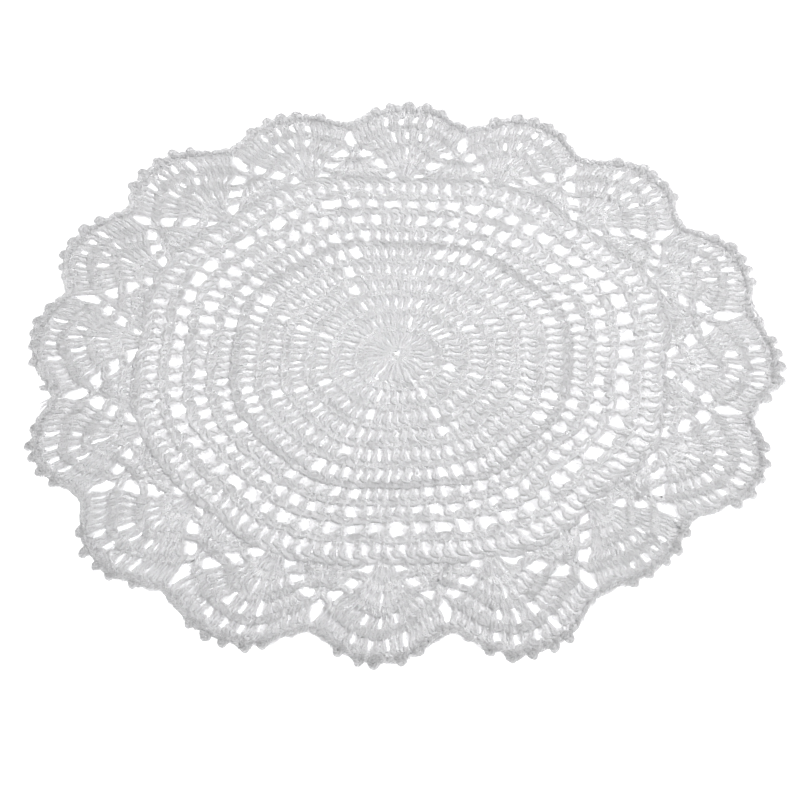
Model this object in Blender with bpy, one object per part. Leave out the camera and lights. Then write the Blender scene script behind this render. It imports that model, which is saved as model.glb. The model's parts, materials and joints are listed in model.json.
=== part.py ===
"""A crocheted lace doily lying flat: one sheet with scallops, picots, cut-through gaps and raised rows.

Lengths are metres. The layout is polar. Angles are degrees, anticlockwise seen from above, with 0 along +X.
Radii in the tables are shares of RADIUS, the mean distance from the centre to the scalloped edge.
"""

from collections import namedtuple
from math import copysign, cos, pi, radians, sin

import bmesh
import bpy
from mathutils import Vector, geometry

RADIUS = 0.145          # mean radius of the doily
THICKNESS = 0.0020      # of the sheet between its raised rows
ROW_RISE = 0.00045      # height of the stitch heads above the sheet
WEB = 0.0008            # least width of cloth kept between a raised point and a gap or the edge
NEAR = 0.012            # a point further than this from a gap's corner is clear of that gap
CRUMB = 1e-6            # tolerance when the sheet is cut into triangles

COTTON = (0.80, 0.80, 0.79, 1.0)

# One row for each round of crochet, from the centre out. cut is how many chain spaces are cut through in each
# of the eight sections, turn how far the first of them has crept round since the third round, and width and
# height are the size of each.
Round = namedtuple("Round", "inner outer cut turn width height")
ROUNDS = (
    Round(0.000, 0.100, 0, 0.0, 0.000, 0.000),
    Round(0.100, 0.170, 1, 1.0, 0.030, 0.036),
    Round(0.170, 0.240, 1, 0.0, 0.030, 0.040),
    Round(0.240, 0.305, 1, -1.0, 0.030, 0.040),
    Round(0.305, 0.375, 1, -4.0, 0.030, 0.040),
    Round(0.375, 0.450, 1, -10.0, 0.030, 0.042),
    Round(0.450, 0.520, 3, -16.0, 0.030, 0.042),
    Round(0.520, 0.590, 5, -20.5, 0.033, 0.043),
    Round(0.590, 0.655, 8, -25.5, 0.038, 0.044),
    Round(0.655, 0.725, 0, 0.0, 0.000, 0.000),
)
LACE_EDGE = ROUNDS[-1].outer
CELL_PITCH = 5.15       # from one chain space to the next in the same section
FULL_SECTION = 8        # chain spaces that fill a section, and so share its angle evenly

# One row for each of the eight sections. space is the angle of its chain space at the third round, and
# opens the first round in which that space is pulled open. Where the stitches increase, the rounds reach
# out to a corner, and between two corners they run in along a side.
Section = namedtuple("Section", "space opens corner reach side")
SECTIONS = (
    Section(25.0, 6, 17.0, 1.030, 0.965),
    Section(71.0, 6, 60.0, 0.990, 0.955),
    Section(116.0, 4, 112.0, 1.000, 0.990),
    Section(159.0, 6, 149.0, 1.015, 0.955),
    Section(206.5, 5, 202.0, 1.000, 0.985),
    Section(252.0, 3, 244.0, 1.018, 0.975),
    Section(295.0, 2, 300.0, 1.028, 0.985),
    Section(338.0, 6, 331.0, 1.025, 0.990),
)

# One row for each of the sixteen scallops: its crest, and the valley that follows it.
Scallop = namedtuple("Scallop", "crest crest_radius valley valley_radius")
SCALLOPS = (
    Scallop(19.0, 1.009, 30.0, 0.950),
    Scallop(42.0, 1.012, 54.0, 0.950),
    Scallop(65.5, 1.014, 76.0, 0.946),
    Scallop(87.0, 0.999, 98.0, 0.960),
    Scallop(109.0, 1.018, 120.0, 0.970),
    Scallop(131.5, 1.036, 142.5, 0.980),
    Scallop(153.0, 1.010, 164.5, 0.968),
    Scallop(174.0, 0.988, 186.0, 0.948),
    Scallop(200.0, 1.004, 210.0, 0.956),
    Scallop(222.5, 1.022, 233.0, 0.990),
    Scallop(245.0, 1.018, 256.0, 0.950),
    Scallop(266.5, 1.008, 277.0, 0.943),
    Scallop(287.5, 1.028, 301.0, 0.958),
    Scallop(312.0, 0.974, 320.5, 0.953),
    Scallop(333.0, 1.022, 345.5, 0.974),
    Scallop(355.5, 1.016, 367.5, 0.988),
)
CREST_MEAN = 1.014
VALLEY_MEAN = 0.960

# One row for each hole of the border that repeats at every valley. aside is the distance from the valley's
# line, on both sides unless it is 0, in widths of a scallop, and lean tips the hole out of the radial line.
Hole = namedtuple("Hole", "aside radius width height lean")
BORDER_HOLES = (
    Hole(0.000, 0.900, 0.034, 0.066, 0.0),
    Hole(0.105, 0.838, 0.030, 0.048, 18.0),
    Hole(0.215, 0.790, 0.030, 0.042, 24.0),
    Hole(0.335, 0.748, 0.030, 0.030, 0.0),
)
# The small holes in the head of every fan, beside the crest's line.
FAN_HOLES = (
    Hole(0.055, 0.968, 0.022, 0.026, 0.0),
)

PICOTS = 5              # on each scallop
PICOT_PITCH = 0.052     # along the edge, in shares of RADIUS
PICOT_WIDTH = 0.023
PICOT_HEIGHT = 0.020
PICOT_TIP = 0.5         # width of its top, as a share of its base

# One row for each raised row across a fan. spread is how far it runs to each side of the crest's line, in
# widths of a scallop.
FanRow = namedtuple("FanRow", "radius spread")
FAN_ROWS = (
    FanRow(0.792, 0.14),
    FanRow(0.860, 0.22),
    FanRow(0.925, 0.30),
)
FAN_POINTS = 6          # raised points along each of those rows

HOLE_POINTS = 6         # corners of a gap
HOLE_SQUARENESS = 0.6   # power that fills out a gap's corners: 1 is an ellipse, 0 a rectangle
HOLE_SHIFT = 0.5        # degrees by which a chain space may lie out of its place
RING_LEAST = 14         # raised points round the smallest ring
RING_DENSITY = 62       # further points for each RADIUS of a ring's size


def circular(values, angle):
    """Blend smoothly round the circle through (angle, value) pairs sorted by angle."""
    last = len(values) - 1
    for i, (start, low) in enumerate(values):
        end, high = values[i + 1] if i < last else (values[0][0] + 360.0, values[0][1])
        share = ((angle - start) % 360.0) / (end - start)
        if share < 1.0:
            return low + (high - low) * share * share * (3.0 - 2.0 * share)
    return values[0][1]


def middle(start, end):
    """The angle half way from start anticlockwise to end."""
    return start + ((end - start) % 360.0) / 2.0


def section_swell():
    """Pairs of angle and reach: out at each section's corner, in at the side that follows it."""
    pairs = []
    for i, section in enumerate(SECTIONS):
        following = SECTIONS[(i + 1) % len(SECTIONS)]
        pairs.append((section.corner, section.reach))
        pairs.append((middle(section.corner, following.corner), section.side))
    return pairs


SWELL = section_swell()


def round_radius(radius, angle):
    """The true radius of a round of the given nominal radius, drawn out at the corners of the sections."""
    return radius * circular(SWELL, angle)


def edge_radius(angle):
    """The scalloped edge: each scallop rises steeply out of its valleys and is rounded at its crest."""
    for i, scallop in enumerate(SCALLOPS):
        before = SCALLOPS[i - 1]
        rising = (scallop.crest - before.valley) % 360.0
        falling = (scallop.valley - scallop.crest) % 360.0
        past = (angle - before.valley) % 360.0
        if past > rising + falling:
            continue
        depth = before.valley_radius if past < rising else scallop.valley_radius
        share = past / rising if past < rising else (rising + falling - past) / falling
        smooth = share * share * (3.0 - 2.0 * share)
        steep = 1.0 - (1.0 - share) ** 2
        return depth + (scallop.crest_radius - depth) * (0.4 * smooth + 0.6 * steep)
    return VALLEY_MEAN


def motif_angle(scallops):
    """The angle at a distance in scallops from the first crest: whole numbers are crests, halves valleys."""
    count = len(SCALLOPS)
    whole = int(scallops // 1)
    here = SCALLOPS[whole % count]
    after = SCALLOPS[(whole + 1) % count]
    share = scallops - whole
    if share < 0.5:
        return here.crest + (here.valley - here.crest) * share * 2.0
    valley = here.valley
    return valley + ((after.crest - valley) % 360.0) * (share * 2.0 - 1.0)


def lace_radius(radius, angle, scallops):
    """The true radius of a border point: the border is stretched between the tenth round and the edge."""
    inner = round_radius(LACE_EDGE, angle)
    share = abs(((scallops + 0.5) % 1.0) - 0.5) * 2.0
    drawn_edge = CREST_MEAN + (VALLEY_MEAN - CREST_MEAN) * share
    return inner + (edge_radius(angle) - inner) * (radius - LACE_EDGE) / (drawn_edge - LACE_EDGE)


def point(radius, angle):
    """The plane point at a radius in shares of RADIUS and an angle in degrees."""
    turn = radians(angle)
    return Vector((RADIUS * radius * cos(turn), RADIUS * radius * sin(turn)))


def openness(angle):
    """How far the gaps stand open: the left and near sides are pulled out more than the far right."""
    return 0.90 + 0.10 * cos(radians(angle - 215.0))


def wobble(number):
    """A small uneven shift between -1 and 1 that belongs to a hole's number."""
    return sin(2.4 * number + 0.7 * sin(1.3 * number))


def hole_outline(centre, angle, lean, width, height, number):
    """A rounded gap drawn as a few straight edges, its long way leaning out of the radial line at angle."""
    outline = []
    for i in range(HOLE_POINTS):
        turn = 2.0 * pi * (i + 0.5 + 0.25 * wobble(number)) / HOLE_POINTS
        across = 0.5 * width * copysign(abs(cos(turn)) ** HOLE_SQUARENESS, cos(turn))
        along = 0.5 * height * copysign(abs(sin(turn)) ** HOLE_SQUARENESS, sin(turn))
        way = radians(angle + lean - 90.0)
        x = RADIUS * (across * cos(way) - along * sin(way))
        y = RADIUS * (across * sin(way) + along * cos(way))
        outline.append(centre + Vector((x, y)))
    return outline


def chain_spaces(number, row):
    """The angles of the chain spaces that are cut in one round."""
    angles = []
    for i, section in enumerate(SECTIONS):
        following = SECTIONS[(i + 1) % len(SECTIONS)]
        first = section.space + row.turn
        pitch = ((following.space - section.space) % 360.0) / FULL_SECTION
        if row.cut < FULL_SECTION:
            pitch = CELL_PITCH
        if number >= section.opens:
            angles += [first + pitch * j for j in range(row.cut)]
    return angles


def inner_holes():
    """The gaps of the even rounds: chain spaces between double crochet stitches."""
    holes = []
    for number, row in enumerate(ROUNDS, start=1):
        for i, angle in enumerate(chain_spaces(number, row)):
            radius = round_radius((row.inner + row.outer) / 2.0, angle)
            size = openness(angle) * (1.0 + 0.08 * wobble(i))
            shift = HOLE_SHIFT * wobble(i + number)
            centre = point(radius, angle + shift)
            holes.append(hole_outline(centre, angle, 0.0, row.width * size, row.height * size, i))
    return holes


def border_hole(kind, scallops, sign, number):
    """One gap of the border, at a distance in scallops from the first crest."""
    angle = motif_angle(scallops)
    centre = point(lace_radius(kind.radius, angle, scallops), angle)
    size = openness(angle) * (1.0 + 0.10 * wobble(number))
    return hole_outline(centre, angle, sign * kind.lean, kind.width * size, kind.height * size, number)


def border_holes():
    """The gaps between the fans, in an upturned V at each valley, and the gaps in each fan's head."""
    holes = []
    for i in range(len(SCALLOPS)):
        for kind in BORDER_HOLES + FAN_HOLES:
            start = i if kind in FAN_HOLES else i + 0.5
            for sign in (1, -1) if kind.aside else (1,):
                holes.append(border_hole(kind, start + sign * kind.aside, sign, len(holes)))
    return holes


def picot(angle, radius):
    """Four points of one picot, a small knob of thread standing out of the edge."""
    half = 0.5 * PICOT_WIDTH * 180.0 / (pi * radius)
    top = radius + PICOT_HEIGHT
    ends = (edge_radius(angle - half), edge_radius(angle + half))
    corners = ((-half, ends[0]), (-PICOT_TIP * half, top), (PICOT_TIP * half, top), (half, ends[1]))
    return [point(r, angle + turn) for turn, r in corners]


def outline():
    """The closed edge: five picots round each crest, and a plain curve down to the valley after it."""
    points = []
    for i, scallop in enumerate(SCALLOPS):
        pitch = PICOT_PITCH * 180.0 / (pi * scallop.crest_radius)
        for j in range(PICOTS):
            angle = scallop.crest + (j - (PICOTS - 1) / 2.0) * pitch
            points += picot(angle, edge_radius(angle))
        following = SCALLOPS[(i + 1) % len(SCALLOPS)]
        valley = scallop.valley
        last_picot = scallop.crest + pitch * PICOTS / 2.0
        next_picot = valley + (following.crest - valley) % 360.0 - pitch * PICOTS / 2.0
        for angle in ((last_picot + valley) / 2.0, valley, (next_picot + valley) / 2.0):
            points.append(point(edge_radius(angle), angle))
    return points


def ring(radius, height):
    """Points round one even round at one height, closer to each other near the centre."""
    count = RING_LEAST + int(RING_DENSITY * radius)
    points = []
    for i in range(count):
        angle = 360.0 * (i + 0.5 * wobble(count)) / count
        points.append((point(round_radius(radius, angle), angle), height))
    return points


def raised_points():
    """Points inside the sheet with their heights: the head of each round stands up, its middle lies low."""
    points = [(Vector((0.0, 0.0)), THICKNESS)]
    for row in ROUNDS:
        points += ring((row.inner + row.outer) / 2.0, THICKNESS)
        points += ring(row.outer, THICKNESS + ROW_RISE)
    for i in range(len(SCALLOPS)):
        for radius, spread in FAN_ROWS:
            for j in range(FAN_POINTS):
                scallops = i + spread * (2.0 * j / (FAN_POINTS - 1) - 1.0)
                angle = motif_angle(scallops)
                place = point(lace_radius(radius, angle, scallops), angle)
                points.append((place, THICKNESS + ROW_RISE))
    return points


def inside(place, loop):
    """Whether a point lies within a closed loop, by counting the edges that a line to its right crosses."""
    crossings = 0
    for a, b in zip(loop, loop[1:] + loop[:1]):
        if (a.y > place.y) != (b.y > place.y):
            crossings += place.x < a.x + (b.x - a.x) * (place.y - a.y) / (b.y - a.y)
    return crossings % 2 == 1


def distance(place, loop):
    """The distance from a point to a closed loop."""
    nearest = []
    for a, b in zip(loop, loop[1:] + loop[:1]):
        share = (place - a).dot(b - a) / (b - a).length_squared
        nearest.append((place - a.lerp(b, min(1.0, max(0.0, share)))).length)
    return min(nearest)


def on_cloth(place, edge, holes):
    """Whether a point lies on the sheet and at least WEB away from its edge and from every gap."""
    if not inside(place, edge) or distance(place, edge) < WEB:
        return False
    near = [loop for loop in holes if (place - loop[0]).length < NEAR]
    return all(not inside(place, loop) and distance(place, loop) >= WEB for loop in near)


def triangles(loops, points):
    """Cut the sheet into triangles: its first loop is the edge, the others are gaps left empty."""
    places = [place for loop in loops for place in loop] + points
    faces = []
    start = 0
    for loop in loops:
        faces.append(list(range(start, start + len(loop))))
        start += len(loop)
    result = geometry.delaunay_2d_cdt(places, [], faces, 1, CRUMB)
    made_from, corners, within = result[3], result[2], result[5]
    return [[made_from[c][0] for c in face] for face, inner in zip(corners, within) if inner == [0]]


def build_sheet():
    """One closed body: a flat underside, a top with raised rows, and walls round its edge and gaps."""
    edge = outline()
    holes = inner_holes() + border_holes()
    loops = [edge] + holes
    raised = [(place, height) for place, height in raised_points() if on_cloth(place, edge, holes)]
    rim = [place for loop in loops for place in loop]
    mesh = bmesh.new()
    lower = [mesh.verts.new((place.x, place.y, 0.0)) for place in rim]
    upper = [mesh.verts.new((place.x, place.y, THICKNESS)) for place in rim]
    upper += [mesh.verts.new((place.x, place.y, height)) for place, height in raised]
    for face in triangles(loops, [place for place, height in raised]):
        mesh.faces.new([upper[i] for i in face])
    for face in triangles(loops, []):
        mesh.faces.new([lower[i] for i in reversed(face)])
    start = 0
    for loop in loops:
        for i in range(len(loop)):
            a = start + i
            b = start + (i + 1) % len(loop)
            mesh.faces.new((lower[a], lower[b], upper[b], upper[a]))
        start += len(loop)
    bmesh.ops.recalc_face_normals(mesh, faces=mesh.faces)
    data = bpy.data.meshes.new("doily")
    mesh.to_mesh(data)
    mesh.free()
    return data


def cotton():
    """Soft white crochet cotton, quite matt."""
    material = bpy.data.materials.new("cotton")
    material.use_nodes = True
    shader = material.node_tree.nodes["Principled BSDF"]
    shader.inputs["Base Color"].default_value = COTTON
    shader.inputs["Roughness"].default_value = 0.9
    shader.inputs["Metallic"].default_value = 0.0
    return material


def main():
    for old in list(bpy.data.objects):
        bpy.data.objects.remove(old, do_unlink=True)
    doily = bpy.data.objects.new("doily", build_sheet())
    doily.data.materials.append(cotton())
    bpy.context.scene.collection.objects.link(doily)


main()
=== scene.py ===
"""The looks of a crocheted lace doily: its thread, stitch by stitch, on the frame of its flat sheet.

The lace is worked in rounds from the centre. Each round is one closed thread that is led through a row of
patches. A patch is a four-cornered place for one stitch, and a stitch is a short table of bends.
Lengths are metres. Angles are degrees, anticlockwise seen from above, with 0 along +X. Radii in the tables
are shares of RADIUS, the mean distance from the centre to the scalloped edge.
"""

import json
from collections import namedtuple

import bpy
import numpy as np
from mathutils import Matrix, Vector

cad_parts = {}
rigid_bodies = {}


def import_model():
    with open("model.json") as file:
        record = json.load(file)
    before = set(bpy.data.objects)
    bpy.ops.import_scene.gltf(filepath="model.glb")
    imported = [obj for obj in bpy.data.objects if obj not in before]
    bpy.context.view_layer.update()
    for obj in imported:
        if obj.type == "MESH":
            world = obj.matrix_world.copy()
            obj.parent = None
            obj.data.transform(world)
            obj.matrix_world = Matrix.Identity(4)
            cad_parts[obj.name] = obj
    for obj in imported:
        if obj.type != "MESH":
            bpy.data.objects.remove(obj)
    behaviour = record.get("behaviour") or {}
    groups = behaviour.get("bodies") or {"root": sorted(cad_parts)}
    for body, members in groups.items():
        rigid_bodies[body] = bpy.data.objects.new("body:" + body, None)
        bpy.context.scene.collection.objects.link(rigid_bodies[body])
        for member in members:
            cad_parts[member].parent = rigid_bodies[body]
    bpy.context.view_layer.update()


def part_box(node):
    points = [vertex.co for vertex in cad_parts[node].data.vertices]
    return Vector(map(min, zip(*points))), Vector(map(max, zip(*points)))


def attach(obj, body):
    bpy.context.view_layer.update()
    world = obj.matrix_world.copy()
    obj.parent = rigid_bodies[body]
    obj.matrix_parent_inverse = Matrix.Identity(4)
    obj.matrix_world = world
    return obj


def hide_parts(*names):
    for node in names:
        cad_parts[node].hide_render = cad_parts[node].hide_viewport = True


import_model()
SHEET_LOW, SHEET_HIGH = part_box("doily")
SHEET_HEIGHT = SHEET_HIGH[2] - SHEET_LOW[2]

bl_info = {
    "name": "Lace Doily",
    "version": (1, 0, 0),
    "blender": (4, 5, 0),
    "location": "View3D > Sidebar > Lace",
    "description": "Crochets a round lace doily with fans and a picot edge",
    "category": "Object",
}

RADIUS = 0.145
TURN = 2.0 * np.pi
SEED = 7  # of every random draw: each operator adds a number of its own
SWAY_MOST = 2.0  # a draw is cut off at this many standard deviations
THREAD_SIDES = 6
SLUB = 0.035  # share by which the thread swells and thins, in two waves
SLUB_WAVES = (0.61, 0.173)  # radians of each wave for a step along the thread
LEAN = 0.36  # how far a post's foot trails its head, in widths of its patch
LEAN_SWAY = 0.14  # how much one post leans more than the next
PUFF = 0.13  # how much a post is fatter or thinner than the next, as a share of its width
HANG = 0.55  # how much lower a chain hangs than the next, as a share of its drop
GAP_SWAY = 0.36  # how much a chain space is wider or narrower than the next
HEAD_SWAY = 0.07  # uneven placing of a middle stitch, in widths of its round's narrowest
WIDEST_LEAN = 2.0  # a post wider than this many of the narrowest leans no further
DEPTH_SWAY = 0.006  # uneven depth of a middle round, as a share of its radius
UNEVEN_ACROSS = 0.0075  # uneven placing of a border stitch, in scallops
UNEVEN_ALONG = 0.0045  # and in shares of RADIUS
DRIFT = 0.013  # how far the inner rounds lie off the middle, in shares of RADIUS
DRIFT_TO = 285.0  # and the angle towards which they do
DRIFT_ENDS = (0.46, 0.60)  # radii between which the drift fades out
OPENNESS = 0.86  # how far a chain space is pulled open
OPENNESS_SWING = 0.10  # and how much further at the angle OPEN_TO
OPEN_TO = 140.0
HEAD_FOOT = 0.9  # where a post's head ends, so that its puff sets in below
HEAD_BLEND = 0.2  # and the stretch over which it does

# Slow waves in the cloth: sines of along_x x + along_y y + phase. RIPPLES lift it off the table by up to
# RIPPLE. The others pull it out of true along X and Y, each wave by PULL.
Wave = namedtuple("Wave", "along_x along_y phase")
RIPPLE = 0.0007
RIPPLES = (Wave(31.0, 12.0, 0.0), Wave(-17.0, 23.0, 1.3), Wave(46.0, 46.0, 0.4))
PULL = 0.00016
PULLS_X = (Wave(150.0, 410.0, 0.0), Wave(730.0, -260.0, 2.1), Wave(0.0, 930.0, 0.7))
PULLS_Y = (Wave(390.0, -130.0, 0.9), Wave(310.0, 690.0, 0.0), Wave(880.0, 0.0, 1.9))

# ---- the plan of the lace

# One row for each round of the middle. cells are the chain spaces in each of the eight sections, each with a
# post after it, and block the posts that follow. turn is how far the first space has crept round since the
# third round, and gap the width of an open space.
Round = namedtuple("Round", "inner outer cells block turn gap")
ROUNDS = (
    Round(0.0235, 0.110, 0, 3, 0.0, 0.000),
    Round(0.110, 0.183, 1, 4, 1.0, 0.011),
    Round(0.183, 0.252, 1, 6, 0.0, 0.014),
    Round(0.252, 0.318, 1, 8, -1.0, 0.019),
    Round(0.318, 0.388, 1, 9, -4.0, 0.021),
    Round(0.388, 0.458, 3, 8, -10.0, 0.019),
    Round(0.458, 0.522, 5, 6, -16.0, 0.015),
    Round(0.522, 0.587, 7, 3, -20.5, 0.019),
    Round(0.587, 0.653, 8, 0, -25.5, 0.030),
    Round(0.653, 0.725, 0, 16, 0.0, 0.000),
)
LACE_EDGE = ROUNDS[-1].outer
CELL_PITCH = 5.15  # degrees from one chain space to the next in the same section
SHUT_GAP = 0.010  # width of a space that is not pulled open
FULL_SECTION = 8  # chain spaces that fill a section, and so share its angle evenly

# One row for each of the eight sections. space is the angle of its first chain space at the third round, and
# opens the first round in which its spaces are pulled open. At the angle corner the radius of every middle
# round is multiplied by reach, and halfway to the next corner by side.
Section = namedtuple("Section", "space opens corner reach side")
SECTIONS = (
    Section(25.0, 6, 17.0, 1.030, 0.970),
    Section(71.0, 6, 60.0, 0.982, 0.938),
    Section(116.0, 4, 112.0, 1.000, 0.980),
    Section(159.0, 6, 149.0, 1.008, 0.955),
    Section(206.5, 5, 202.0, 0.990, 0.985),
    Section(252.0, 3, 244.0, 1.018, 0.975),
    Section(295.0, 2, 300.0, 1.028, 0.985),
    Section(338.0, 6, 331.0, 1.025, 0.990),
)

# One row for each scallop: its crest and the valley that follows.
Scallop = namedtuple("Scallop", "crest crest_radius valley valley_radius")
SCALLOPS = (
    Scallop(19.0, 1.012, 30.0, 0.932),
    Scallop(42.0, 1.000, 54.0, 0.926),
    Scallop(65.5, 0.998, 76.0, 0.914),
    Scallop(87.0, 0.987, 98.0, 0.932),
    Scallop(109.0, 1.001, 120.0, 0.947),
    Scallop(131.5, 1.027, 142.5, 0.957),
    Scallop(153.0, 1.008, 164.5, 0.942),
    Scallop(174.0, 0.984, 188.0, 0.927),
    Scallop(200.0, 1.006, 210.0, 0.946),
    Scallop(222.5, 1.031, 233.0, 0.988),
    Scallop(245.0, 1.040, 256.0, 0.942),
    Scallop(266.5, 1.017, 277.0, 0.936),
    Scallop(287.5, 1.050, 301.0, 0.961),
    Scallop(312.0, 0.980, 320.5, 0.946),
    Scallop(333.0, 1.034, 345.5, 0.963),
    Scallop(355.5, 1.019, 367.5, 0.977),
)
DRAWN_CREST = 1.014  # radius of a crest as the border is drawn, before it is stretched to the edge
DRAWN_VALLEY = 0.960  # and of a valley
FULLNESS = 1.35  # above 1, crests are fuller and valleys narrower than in a sine

# One row for each round of the border, after the one it stands on. A fan stands on every crest's line, a leaf
# on every valley's line, and chains cross between them. crest is the radius of a fan's heads at its middle,
# side that at its sides and tip that of the leaf's heads. Spans are half widths at the heads, in widths of a
# scallop. In a fan's chart P is a post, s a narrow chain space and S a wide one.
Border = namedtuple("Border", "crest side fan_span chart tip leaf_span leaf chains")
BORDER = (
    Border(0.728, 0.728, 0.060, "", 0.728, 0.344, 0, 0),
    Border(0.806, 0.768, 0.165, "PPPP", 0.762, 0.240, 8, 2),
    Border(0.878, 0.814, 0.280, "PPPPsPPPP", 0.806, 0.105, 5, 2),
    Border(0.940, 0.868, 0.440, "PPPPPSPPSPPSPPPPP", 0.842, 0.015, 2, 2),
    Border(0.998, 0.946, 0.500, "PPPPPPSPPSPPSPPSPPPPPP", 0.946, 0.000, 0, 0),
)
BOW = 1.3  # power by which a fan's heads fall from its middle to its sides
STITCH_WIDTHS = {"P": 1.0, "s": 0.35, "S": 0.7}
CHAIN_ROWS = 0.038  # depth of a chain's patch

EDGING_STITCHES = 18  # along each scallop
PICOTS = 5  # on each scallop
PICOT_PITCH = 0.052  # from one to the next, in shares of RADIUS
PICOT_SEAT = 0.007  # how far a picot's foot is sunk into the edging, in shares of RADIUS
PICOT_STAND = 0.08  # how much larger a picot is at the far side, as a share
PICOT_CLEAR = 0.6  # and how much less it is sunk there
PICOT_SWAY = 0.08  # how much larger one picot is than the next
PICOT_STRAY = 0.35  # uneven placing of a picot, in degrees
PICOT_THREAD = 1.30  # how much fuller the thread lies in a picot

# The loose fibre between the strands: sections of the bed in a post and of the band under a round's heads.
# aside is in widths of the post, or in metres for the band, and height in thread diameters. The bed is
# carried up the post in steps, which widen it by width.
Fill = namedtuple("Fill", "aside height")
BED = (Fill(-0.62, 0.60), Fill(0.62, 0.60), Fill(0.55, 0.94), Fill(0.0, 1.05), Fill(-0.55, 0.94))
Step = namedtuple("Step", "along width")
BED_STEPS = (Step(0.13, 1.22), Step(0.29, 1.03), Step(0.48, 0.97), Step(0.65, 1.01), Step(0.80, 1.20))
BAND = (Fill(-0.0024, 0.45), Fill(0.0024, 0.45), Fill(0.0019, 0.90), Fill(0.0, 1.02), Fill(-0.0019, 0.90))
BAND_DROP = 0.004  # how far inside the heads the band runs, in shares of RADIUS
EDGE_DROP = 0.015  # and inside those of the edging
BAND_STEPS = 3  # of the band over each patch
RAGGED = 0.13  # how much a bed or the band is wider or narrower at each step, as a share
FAN_FILL = 1.08  # how much wider the beds of the fans and leaves are

# The cut tail of the thread at a valley of the left side, and the plies that it has frayed into. Each runs
# out on the table from x, y by its length, turned by its heading and bent aside by bend.
Loose = namedtuple("Loose", "x y heading length bend thickness")
LOOSE_ENDS = (
    Loose(-0.1312, -0.0124, 183.0, 0.0072, 0.0004, 0.0021),
    Loose(-0.1312, -0.0142, 182.0, 0.0066, -0.0003, 0.0021),
    Loose(-0.1317, -0.0186, 190.0, 0.0061, 0.0014, 0.0010),
    Loose(-0.1317, -0.0188, 200.0, 0.0062, 0.0015, 0.0008),
    Loose(-0.1317, -0.0190, 212.0, 0.0077, 0.0014, 0.0011),
    Loose(-0.1315, -0.0193, 226.0, 0.0105, 0.0016, 0.0011),
)
LOOSE_STEPS = 12
LOOSE_LIFT = 0.0005  # how far a loose end rises off the table on its way
LOOSE_ARCH = 2.6  # the part of a sine that it rises and falls by, in radians
LOOSE_TAPER = 0.45  # by what share it is thinner at its end

# The rounds of the middle or of the border that make up each piece, from first to just before last.
Piece = namedtuple("Piece", "name first last")
MIDDLE_PIECES = (
    Piece("doily_centre", 0, 6),
    Piece("doily_trellis", 6, 10),
)
FAN_PIECES = (
    Piece("doily_fans_inner", 0, 2),
    Piece("doily_fans_middle", 2, 3),
    Piece("doily_fans_outer", 3, 4),
)
EDGING_PIECES = (
    Piece("doily_edging", 4, 5),
)
THREAD_PIECES = 8  # these, the picots and the loose ends

PLIES = 3  # of the twisted thread
LAY = 0.0034  # length in which they go once round
PLY_BUMP = 0.00008  # how far the plies stand proud
FUZZ = 4.0  # how far the fuzz on them stands proud, in plies
FUZZ_SCALE = 1400.0  # waves to the metre, as for every scale below
GROOVE_PAINTED_SHADE = 0.95  # colour of the cotton down between the plies: painted shade in the grooves
EDGE_PAINTED_SHADE = 0.70  # and at the edge, where the painted shade is deeper in the grooves and over the cord
PLY_SHARE = 0.5  # weight of the plies in the thread's painted shade
CAST_SHARE = 0.8  # and of the slow change over the lace: random tone, but painted shade at the edge
CAST_SCALE = 28.0
# Painted shade at the edge: the cord is darker towards the front and the left, where it faces away from the
# key light.
Fade = namedtuple("Fade", "along_x along_y middle")
EDGE_PAINTED_SHADE_FADE = Fade(0.8, 3.6, 0.62)  # that change at the edge, a painted shade: shade for each metre, and in the middle
FIBRE_BUMP = 0.0008
STRAND_SCALE = 620.0
GRAIN_SCALE = 1500.0
GRAIN = 0.35  # height of the grain, in strands
FIBRE_HOLLOW_PAINTED_SHADE = 0.94  # colour of the fibre down in its hollows: painted shade
FLOOR_SHADE = 0.99  # colour of the floor where it is darkest
FLOOR_SCALE = 6.0
GLOW_DEPTH = 0.0014  # how far light spreads inside the cotton
HARD_GLOW = 0.8  # share of the light that does so at the edge

# ---- the stitches

# A bend of the thread inside a patch. across runs from -0.5 to 0.5, along from the patch's foot at 0 to its
# head at 1, and height is in thread diameters above the table, before the lace is pressed.
Bend = namedtuple("Bend", "across along height")
# A double crochet: out along the head, back, down the left leg, over the post and round it, under the round
# below and up the right leg.
POST = (
    Bend(-0.50, 1.02, 1.15),
    Bend(-0.22, 1.11, 1.48),
    Bend(0.12, 1.12, 1.48),
    Bend(0.45, 1.06, 1.15),
    Bend(0.58, 0.97, 0.85),
    Bend(0.42, 0.88, 1.00),
    Bend(0.10, 0.84, 1.38),
    Bend(-0.16, 0.80, 1.48),
    Bend(-0.25, 0.71, 1.30),
    Bend(-0.21, 0.58, 1.20),
    Bend(-0.04, 0.49, 1.45),
    Bend(0.18, 0.41, 1.35),
    Bend(0.25, 0.32, 0.95),
    Bend(0.06, 0.26, 0.55),
    Bend(-0.20, 0.20, 0.80),
    Bend(-0.27, 0.07, 1.15),
    Bend(-0.20, -0.09, 1.00),
    Bend(-0.06, -0.17, 0.65),
    Bend(0.10, -0.17, 0.65),
    Bend(0.24, -0.07, 0.95),
    Bend(0.22, 0.12, 1.25),
    Bend(0.08, 0.30, 1.15),
    Bend(0.08, 0.48, 0.90),
    Bend(0.17, 0.62, 1.15),
    Bend(0.18, 0.78, 0.95),
    Bend(0.32, 0.94, 0.65),
)
# The same in a fan, where it is drawn up so long that its foot lies over the heads below.
DRAWN_UP = 0.55
DRAWN_BELOW = 0.15
FAN_POST = tuple(
    Bend(across, along, height + (DRAWN_UP if along < DRAWN_BELOW else 0.0)) for across, along, height in POST
)
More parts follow.
